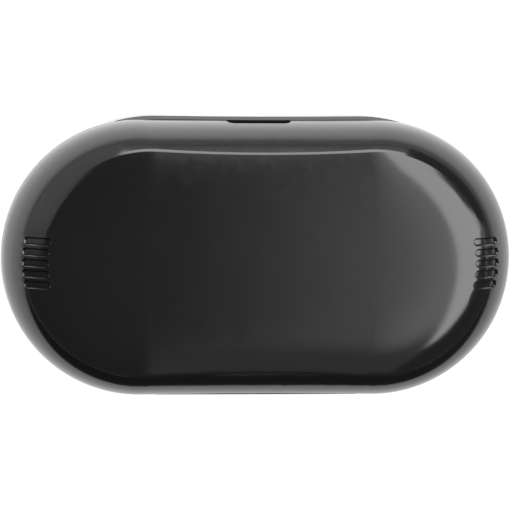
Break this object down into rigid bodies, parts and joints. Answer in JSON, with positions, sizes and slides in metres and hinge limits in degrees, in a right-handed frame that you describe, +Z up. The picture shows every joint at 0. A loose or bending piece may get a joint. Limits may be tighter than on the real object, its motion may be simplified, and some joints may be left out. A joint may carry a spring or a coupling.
{
  "type": "wireless earbuds case",
  "caption": "Pebble-shaped clamshell charging case for wireless earbuds: sprung hinge, twin earbud wells, thumb notch, ribbed ends and a rear charging port.",
  "frame": {"origin": "middle of the flat underside of the case, on its lowest plane", "axes": "+X along the case's length, +Y from the front with the thumb notch to the back with the hinge and charging port, +Z up"},
  "size_m": [0.076, 0.0415, 0.0271],
  "materials": {
    "shell_plastic": "satin soft-touch, dark graphite",
    "cradle_plastic": "polished moulding, dark graphite",
    "screw_steel": "zinc plated",
    "magnet_nickel": "nickel plated",
    "board_laminate": "solder mask",
    "chip_black": "moulded epoxy",
    "inductor_ferrite": "ferrite",
    "passive_ceramic": "ceramic chips",
    "light_body": "light-emitting diode",
    "light_pipe_clear": "frosted",
    "socket_steel": "drawn stainless steel",
    "socket_blade_black": "moulded",
    "pad_foam": "closed-cell foam",
    "battery_foil": "laminated foil pouch",
    "plug_white": "moulded",
    "lead_red": "silicone insulation",
    "flex_amber": "polyimide film",
    "carrier_ivory": "glass-filled moulding",
    "contact_gold": "gold plated",
    "spring_steel": "spring wire",
    "pin_steel": "ground and polished"
  },
  "bodies": {
    "base": {"base_shell": "shell_plastic", "cradle_tray": "cradle_plastic", "cradle_screws": "screw_steel", "well_magnets": "magnet_nickel", "base_closure_magnets": "magnet_nickel", "main_board": "board_laminate", "board_screws": "screw_steel", "charger_chip": "chip_black", "control_chip": "chip_black", "power_inductor": "inductor_ferrite", "board_passives": "passive_ceramic", "status_light": "light_body", "light_pipe": "light_pipe_clear", "socket_shell": "socket_steel", "socket_blade": "socket_blade_black", "battery_pad": "pad_foam", "battery_cell": "battery_foil", "battery_plug": "plug_white", "battery_leads": "lead_red", "contact_flex_left": "flex_amber", "contact_flex_right": "flex_amber", "contact_carrier_left": "carrier_ivory", "contact_carrier_right": "carrier_ivory", "contact_barrels_left": "contact_gold", "contact_barrels_right": "contact_gold", "contact_spring_left_front": "spring_steel", "contact_spring_left_back": "spring_steel", "contact_spring_right_front": "spring_steel", "contact_spring_right_back": "spring_steel", "hinge_pin": "pin_steel", "hinge_spring": "spring_steel"},
    "lid": {"lid_shell": "shell_plastic", "lid_liner": "cradle_plastic", "lid_closure_magnets": "magnet_nickel"},
    "contact_left_front": {"plunger_left_front": "contact_gold"},
    "contact_left_back": {"plunger_left_back": "contact_gold"},
    "contact_right_front": {"plunger_right_front": "contact_gold"},
    "contact_right_back": {"plunger_right_back": "contact_gold"}
  },
  "joints": [
    {"name": "lid_hinge", "type": "hinge", "parent": "base", "child": "lid", "pos_m": [0, 0.0187, 0.0137], "axis": [-1, 0, 0], "range_deg": [0, 95], "deforming": ["hinge_spring"]},
    {"name": "contact_left_front_press", "type": "slide", "parent": "base", "child": "contact_left_front", "axis": [0, 0, -1], "range_m": [0, 0.0007], "stiffness_N_per_m": 150, "springref_m": -0.0006, "deforming": ["contact_spring_left_front"]},
    {"name": "contact_left_back_press", "type": "slide", "parent": "base", "child": "contact_left_back", "axis": [0, 0, -1], "range_m": [0, 0.0007], "stiffness_N_per_m": 150, "springref_m": -0.0006, "deforming": ["contact_spring_left_back"]},
    {"name": "contact_right_front_press", "type": "slide", "parent": "base", "child": "contact_right_front", "axis": [0, 0, -1], "range_m": [0, 0.0007], "stiffness_N_per_m": 150, "springref_m": -0.0006, "deforming": ["contact_spring_right_front"]},
    {"name": "contact_right_back_press", "type": "slide", "parent": "base", "child": "contact_right_back", "axis": [0, 0, -1], "range_m": [0, 0.0007], "stiffness_N_per_m": 150, "springref_m": -0.0006, "deforming": ["contact_spring_right_back"]}
  ]
}
